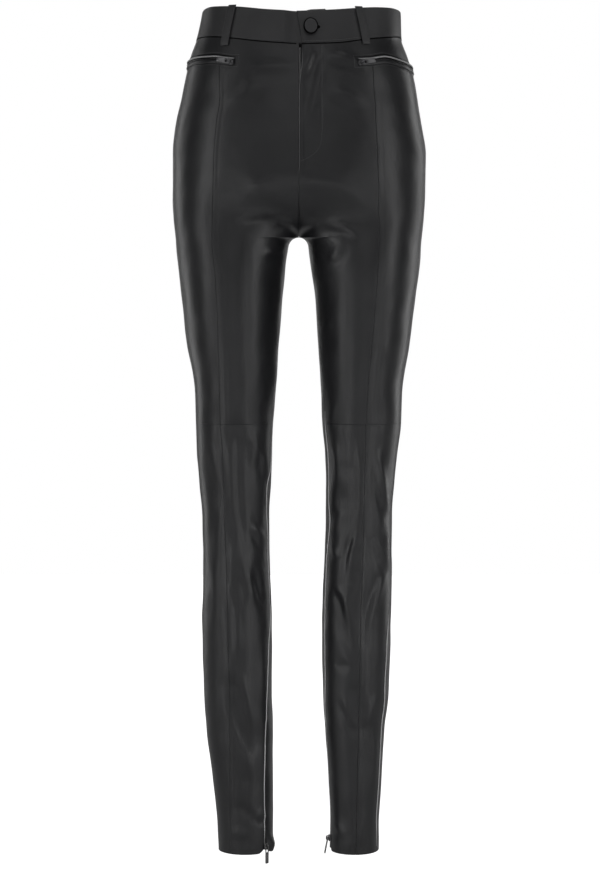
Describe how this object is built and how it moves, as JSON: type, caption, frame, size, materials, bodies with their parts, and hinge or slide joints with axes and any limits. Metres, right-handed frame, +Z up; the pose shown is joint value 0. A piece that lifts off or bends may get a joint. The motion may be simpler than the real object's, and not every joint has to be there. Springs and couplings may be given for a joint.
{
  "type": "high-waisted leather leggings",
  "caption": "Slim black leather leggings, filled out, with a buttoned waistband, fly, zipped front pockets and ankle zips.",
  "frame": {"origin": "middle of the waist opening, half way up the waistband at the sides", "axes": "+Z up through the waist opening, -Y out of the front of the garment, +X towards the wearer's left"},
  "size_m": [0.3188, 0.2342, 1.0823],
  "materials": {
    "panel_leather": "smooth black leather with a soft satin sheen",
    "band_leather": "smooth black leather, folded double, a little more matt",
    "zip_tape": "black woven tape with a dark metal chain",
    "gunmetal": "dark gunmetal plating, polished and lightly rubbed",
    "button_cover": "black leather stretched over a flat button, matt"
  },
  "bodies": {
    "garment": {"ankle_slider_left": "gunmetal", "ankle_slider_right": "gunmetal", "ankle_zip_left": "zip_tape", "ankle_zip_right": "zip_tape", "back_lower_left": "panel_leather", "back_lower_right": "panel_leather", "back_upper_left": "panel_leather", "back_upper_right": "panel_leather", "belt_loop_back": "band_leather", "belt_loop_left": "band_leather", "belt_loop_right": "band_leather", "button": "button_cover", "fly_zip": "zip_tape", "front_centre_lower_left": "panel_leather", "front_centre_lower_right": "panel_leather", "front_centre_upper_left": "panel_leather", "front_centre_upper_right": "panel_leather", "front_side_lower_left": "panel_leather", "front_side_lower_right": "panel_leather", "front_side_upper_left": "panel_leather", "front_side_upper_right": "panel_leather", "pocket_jet_lower_left": "panel_leather", "pocket_jet_lower_right": "panel_leather", "pocket_jet_upper_left": "panel_leather", "pocket_jet_upper_right": "panel_leather", "pocket_slider_left": "gunmetal", "pocket_slider_right": "gunmetal", "pocket_zip_left": "zip_tape", "pocket_zip_right": "zip_tape", "waistband_left": "band_leather", "waistband_right": "band_leather"},
    "ankle_pull_left": {"ankle_pull_left": "gunmetal"},
    "ankle_pull_right": {"ankle_pull_right": "gunmetal"},
    "pocket_pull_left": {"pocket_pull_left": "gunmetal"},
    "pocket_pull_right": {"pocket_pull_right": "gunmetal"}
  },
  "joints": [
    {"name": "pocket_pull_hinge_left", "type": "hinge", "parent": "garment", "child": "pocket_pull_left", "pos_m": [0.07776, -0.09014, -0.04987], "axis": [0.2379, -0.143, -0.9607], "range_deg": [0, 160]},
    {"name": "pocket_pull_hinge_right", "type": "hinge", "parent": "garment", "child": "pocket_pull_right", "pos_m": [-0.08551, -0.08662, -0.04865], "axis": [0.2787, 0.1105, 0.954], "range_deg": [0, 160]},
    {"name": "ankle_pull_hinge_left", "type": "hinge", "parent": "garment", "child": "ankle_pull_left", "pos_m": [0.0369, -0.00317, -1.03144], "axis": [-0.1237, 0.9923, 0], "range_deg": [-8, 150]},
    {"name": "ankle_pull_hinge_right", "type": "hinge", "parent": "garment", "child": "ankle_pull_right", "pos_m": [-0.0407, -0.02495, -1.03852], "axis": [-0.6545, -0.7561, 0], "range_deg": [0, 150]}
  ]
}
